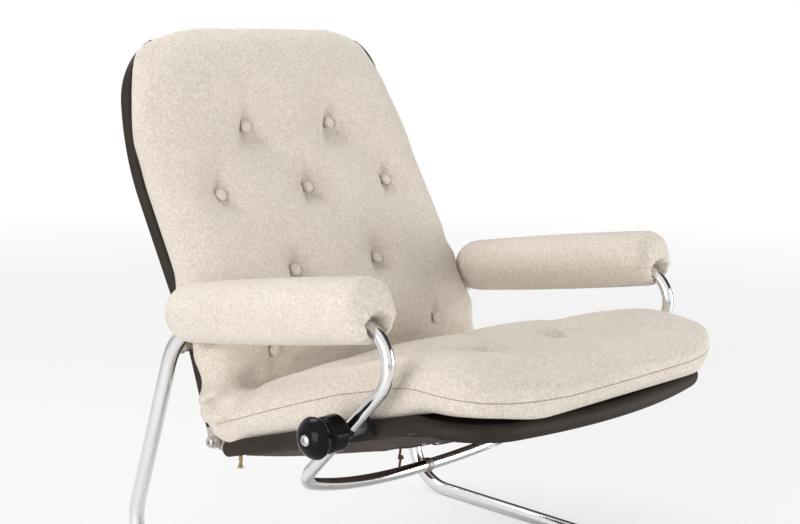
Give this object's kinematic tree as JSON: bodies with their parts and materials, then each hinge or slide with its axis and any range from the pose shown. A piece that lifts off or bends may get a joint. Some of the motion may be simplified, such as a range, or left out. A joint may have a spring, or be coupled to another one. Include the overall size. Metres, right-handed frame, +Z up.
{
  "type": "reclining armchair",
  "caption": "Lounge armchair on a bent tube base, with bolster arms and a tufted back and seat in leather slings; loosened side knobs let the seat slide and the back recline.",
  "frame": {"origin": "on the floor, under the middle of the chair's bounding box", "axes": "+Z up, the chair faces -Y, +X is the sitter's left"},
  "size_m": [0.8386, 0.8344, 0.8968],
  "materials": {
    "chrome": "polished chrome plate with soft streaks",
    "steel": "zinc plated steel",
    "black_steel": "black paint on steel",
    "weld": "dull ground weld",
    "brass": "plain brass",
    "nylon": "white nylon",
    "knob": "moulded black plastic, glossy",
    "cover": "cream looped wool cloth over foam",
    "sling": "dark brown saddle leather",
    "lace": "red-brown leather lace",
    "cord": "yellow-brown cotton cord"
  },
  "bodies": {
    "base": {"base_tube_left": "chrome", "base_tube_right": "chrome", "base_spigot": "steel", "arm_tube_left": "chrome", "arm_tube_right": "chrome", "cross_tube_weld": "weld", "arm_pad_left": "cover", "arm_pad_right": "cover", "pivot_pin_left": "steel", "pivot_pin_right": "steel", "pivot_washers": "nylon", "clamp_spacer_left": "steel", "clamp_spacer_right": "steel", "clamp_nut_left": "steel", "clamp_nut_right": "steel", "knob_saddle_left": "knob", "knob_saddle_right": "knob"},
    "back": {"back_frame": "steel", "pivot_boss_left": "steel", "pivot_boss_right": "steel", "back_hinge_lug_left": "steel", "back_hinge_lug_right": "steel", "back_sling": "sling", "back_cushion": "cover", "back_buttons": "cover", "hinge_bolts": "steel", "hinge_washers": "steel", "hinge_spacers": "brass", "hinge_nuts": "steel"},
    "seat": {"seat_frame": "steel", "seat_hinge_lug_left": "steel", "seat_hinge_lug_right": "steel", "adjuster_plate_left": "black_steel", "adjuster_plate_right": "black_steel", "seat_sling": "sling", "seat_cushion": "cover", "seat_buttons": "cover", "seat_lacing": "lace", "lace_end_rear": "cord", "lace_end_front": "lace"},
    "knob_right": {"knob_right": "knob", "knob_bolt_right": "steel"},
    "knob_left": {"knob_left": "knob", "knob_bolt_left": "steel"}
  },
  "joints": [
    {"name": "recline", "type": "hinge", "parent": "base", "child": "back", "pos_m": [0, 0.22086, 0.398], "axis": [-1, 0, 0], "range_deg": [0, 18]},
    {"name": "seat_hinge", "type": "hinge", "parent": "back", "child": "seat", "pos_m": [0, 0.17, 0.251], "axis": [-1, 0, 0], "range_deg": [-19.65, 0]},
    {"name": "knob_right_turn", "type": "hinge", "parent": "base", "child": "knob_right", "pos_m": [0, -0.175, 0.3541], "axis": [-1, 0, 0], "range_deg": [0, 360]},
    {"name": "knob_left_turn", "type": "hinge", "parent": "base", "child": "knob_left", "pos_m": [0, -0.175, 0.3541], "axis": [1, 0, 0], "range_deg": [-360, 0]}
  ],
  "couplings": [
    {"joint": "seat_hinge", "follows": "recline", "ratio": -1.0917}
  ]
}
